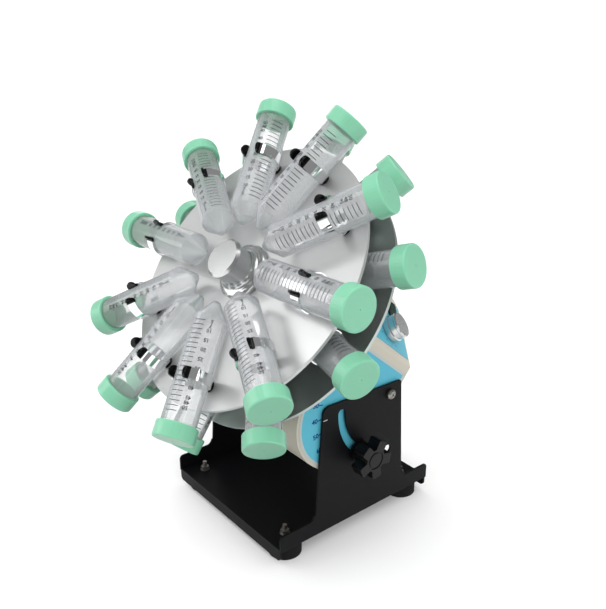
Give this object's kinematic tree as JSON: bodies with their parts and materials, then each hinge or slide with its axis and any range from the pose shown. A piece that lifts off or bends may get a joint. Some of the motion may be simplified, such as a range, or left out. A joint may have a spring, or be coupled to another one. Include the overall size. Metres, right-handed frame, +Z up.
{
  "type": "tube rotator",
  "caption": "Bench tube rotator: two spinning discs carry capped conical tubes in spring clips on a geared drive head that tilts between two side plates and locks with a star knob.",
  "frame": {"origin": "on the bench under the middle of the stand's base, in the plane of the four foot soles", "axes": "+Z up; the discs and tubes face the front, -Y, and upwards; +X is the control side, with the star knob, the speed knob and the switch"},
  "size_m": [0.309, 0.2858, 0.3784],
  "materials": {
    "black_steel": "satin black powder coat",
    "black_rubber": "matte",
    "bright_steel": "zinc plated",
    "black_plastic": "fine matte",
    "housing_paint": "warm light grey, satin",
    "blue_film": "printed polyester film with a light border",
    "knob_metal": "turned and polished",
    "green_rocker": "dark green, glossy",
    "drive_metal": "machined",
    "board_green": "solder mask",
    "rear_disc_metal": "satin grey",
    "front_disc_paint": "satin white",
    "clip_chrome": "mirror bright",
    "sleeve_black": "glossy black",
    "tube_clear": "translucent with dark graduations",
    "cap_green": "mint green, satin"
  },
  "bodies": {
    "stand": {"base_plate": "black_steel", "right_side_plate": "black_steel", "left_side_plate": "black_steel", "rubber_feet": "black_rubber", "foot_screws": "bright_steel", "foot_washers": "bright_steel", "foot_nuts": "bright_steel", "pivot_bushes": "black_plastic"},
    "head": {"housing_shell": "housing_paint", "rear_cover": "housing_paint", "cover_screws": "bright_steel", "right_side_label": "blue_film", "left_side_label": "blue_film", "control_label": "blue_film", "pivot_screws": "bright_steel", "lock_stud": "bright_steel", "lock_washer": "bright_steel", "potentiometer": "drive_metal", "pot_nut": "bright_steel", "switch_body": "black_plastic", "dc_inlet": "black_plastic", "board_standoffs": "drive_metal", "circuit_board": "board_green", "board_screws": "bright_steel", "board_parts": "black_plastic", "motor": "drive_metal", "gearbox": "drive_metal", "motor_plate": "bright_steel", "motor_posts": "bright_steel", "motor_screws": "bright_steel", "bearing_block": "drive_metal", "bearing_screws": "bright_steel", "front_bearing": "bright_steel", "rear_bearing": "bright_steel"},
    "rotor": {"gearbox_shaft": "bright_steel", "coupling": "drive_metal", "spindle": "bright_steel", "rear_hub": "drive_metal", "hub_screws": "bright_steel", "disc_spacer": "drive_metal", "rear_disc": "rear_disc_metal", "front_disc": "front_disc_paint", "front_tubes": "tube_clear", "rear_tubes": "tube_clear", "front_caps": "cap_green", "rear_caps": "cap_green", "front_clips": "clip_chrome", "rear_clips": "clip_chrome", "front_sleeves": "sleeve_black", "rear_sleeves": "sleeve_black", "front_seats": "black_plastic", "rear_seats": "black_plastic", "front_rivets": "clip_chrome", "rear_rivets": "clip_chrome"},
    "hub_knob": {"hub_knob": "knob_metal"},
    "speed_knob": {"speed_knob": "knob_metal", "pot_shaft": "bright_steel"},
    "switch_rocker": {"switch_rocker": "green_rocker"},
    "lock_knob": {"lock_knob": "black_plastic"}
  },
  "joints": [
    {"name": "head_tilt", "type": "hinge", "parent": "stand", "child": "head", "pos_m": [0, 0.034, 0.1278], "axis": [-1, 0, 0], "range_deg": [-28, 50]},
    {"name": "rotor_spin", "type": "hinge", "parent": "head", "child": "rotor", "pos_m": [0, 0.05007, 0.14695], "axis": [0, -0.766, 0.6428], "continuous": true},
    {"name": "hub_knob_turn", "type": "hinge", "parent": "rotor", "child": "hub_knob", "pos_m": [0, -0.06254, 0.24144], "axis": [0, -0.766, 0.6428], "range_deg": [0, 360]},
    {"name": "speed_turn", "type": "hinge", "parent": "head", "child": "speed_knob", "pos_m": [0.06062, 0.05241, 0.17682], "axis": [-0.7071, -0.4545, -0.5417], "range_deg": [0, 300]},
    {"name": "switch_tip", "type": "hinge", "parent": "head", "child": "switch_rocker", "pos_m": [0.03869, 0.07419, 0.18347], "axis": [0, -0.766, 0.6428], "range_deg": [0, 16]},
    {"name": "lock_turn", "type": "hinge", "parent": "head", "child": "lock_knob", "pos_m": [0.095, -0.00296, 0.08375], "axis": [1, 0, 0], "range_deg": [0, 360]}
  ]
}
